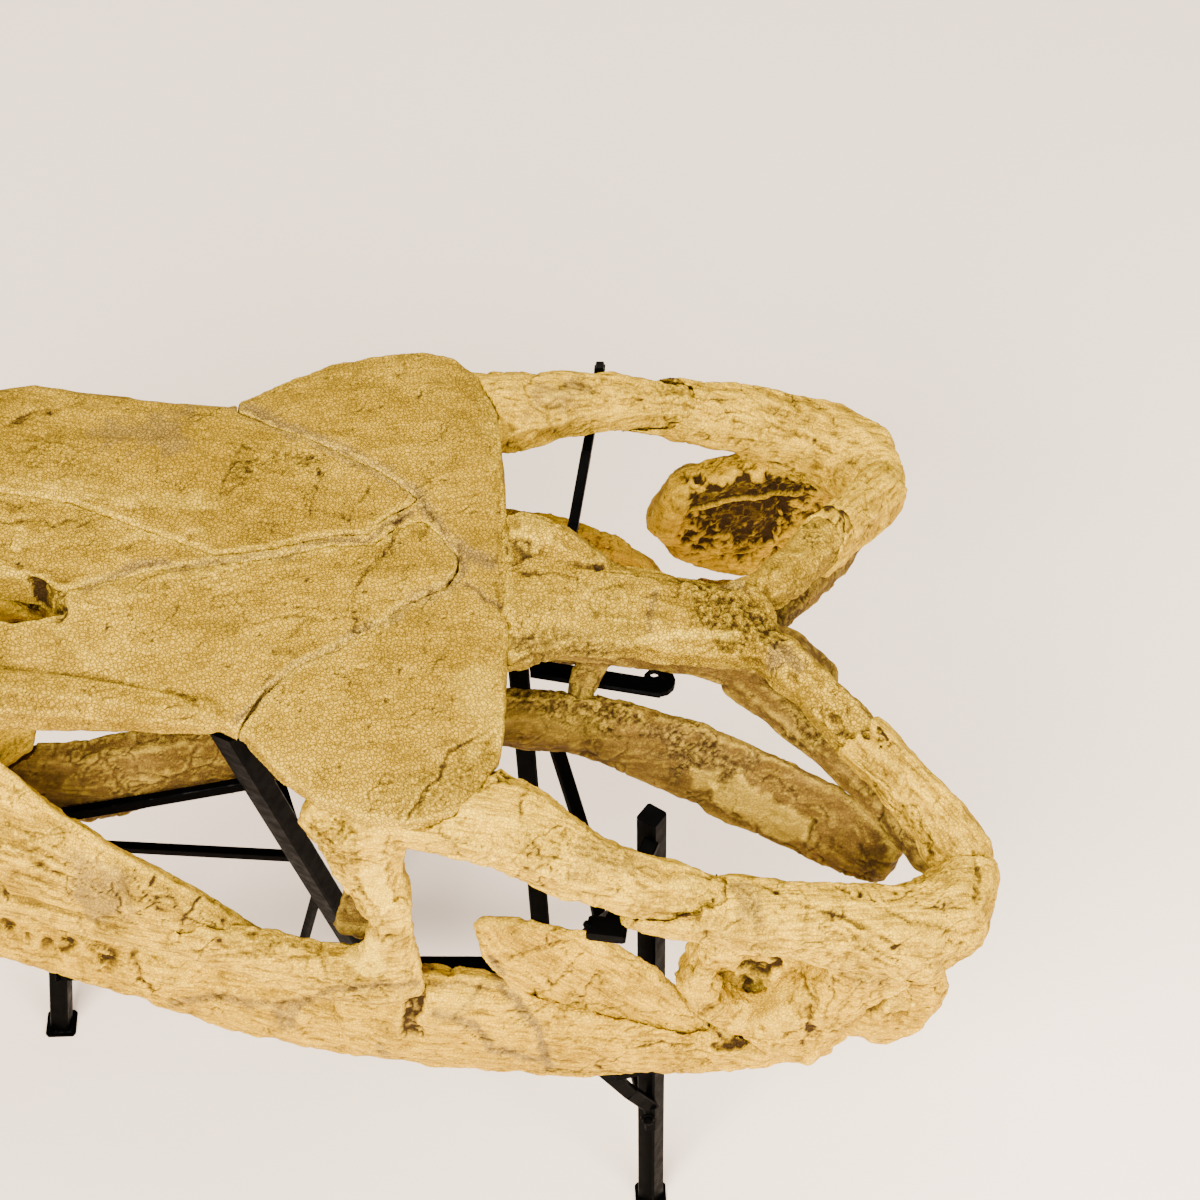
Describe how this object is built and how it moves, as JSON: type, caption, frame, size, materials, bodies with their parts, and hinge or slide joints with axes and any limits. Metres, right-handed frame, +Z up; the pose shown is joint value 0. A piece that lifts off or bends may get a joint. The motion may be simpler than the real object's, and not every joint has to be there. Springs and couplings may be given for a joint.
{
  "type": "mounted fossil skull",
  "caption": "Life-size fossil skull of a large marine lizard, with long toothed jaws, on a welded black steel floor stand.",
  "frame": {"origin": "floor level, at the middle of the length and width of the skull and its stand", "axes": "+X towards the back of the skull, with the snout at -X; +Y to the animal's right; +Z up"},
  "size_m": [1.3896, 0.6523, 0.8408],
  "materials": {
    "fossil_bone": "dry, fine-grained fossil bone, ochre to cream with grey filler in its cracks",
    "fossil_jaw_bone": "paler cream fossil bone, dry, with fibrous grain and dark enamel on the teeth",
    "black_steel": "satin black paint, with a little rust at the bolted joints"
  },
  "bodies": {
    "root": {"braincase": "fossil_bone", "coronoid_left": "fossil_jaw_bone", "coronoid_right": "fossil_jaw_bone", "dentary_left": "fossil_jaw_bone", "dentary_right": "fossil_jaw_bone", "frontal": "fossil_bone", "jugal_left": "fossil_jaw_bone", "jugal_right": "fossil_jaw_bone", "maxilla_left": "fossil_jaw_bone", "maxilla_right": "fossil_jaw_bone", "parietal": "fossil_bone", "postorbitofrontal_left": "fossil_bone", "postorbitofrontal_right": "fossil_bone", "prefrontal_left": "fossil_bone", "prefrontal_right": "fossil_bone", "premaxilla": "fossil_jaw_bone", "pterygoid_left": "fossil_bone", "pterygoid_right": "fossil_bone", "quadrate_left": "fossil_jaw_bone", "quadrate_right": "fossil_jaw_bone", "squamosal_left": "fossil_bone", "squamosal_right": "fossil_bone", "stand_bar_clip": "black_steel", "stand_bar_hook": "black_steel", "stand_braincase_strap": "black_steel", "stand_frame": "black_steel", "stand_jaw_arm_left": "black_steel", "stand_jaw_arm_right": "black_steel", "stand_palate_fork_left": "black_steel", "stand_palate_fork_right": "black_steel", "supratemporal_left": "fossil_bone", "supratemporal_right": "fossil_bone", "surangular_left": "fossil_jaw_bone", "surangular_right": "fossil_jaw_bone"}
  },
  "joints": []
}
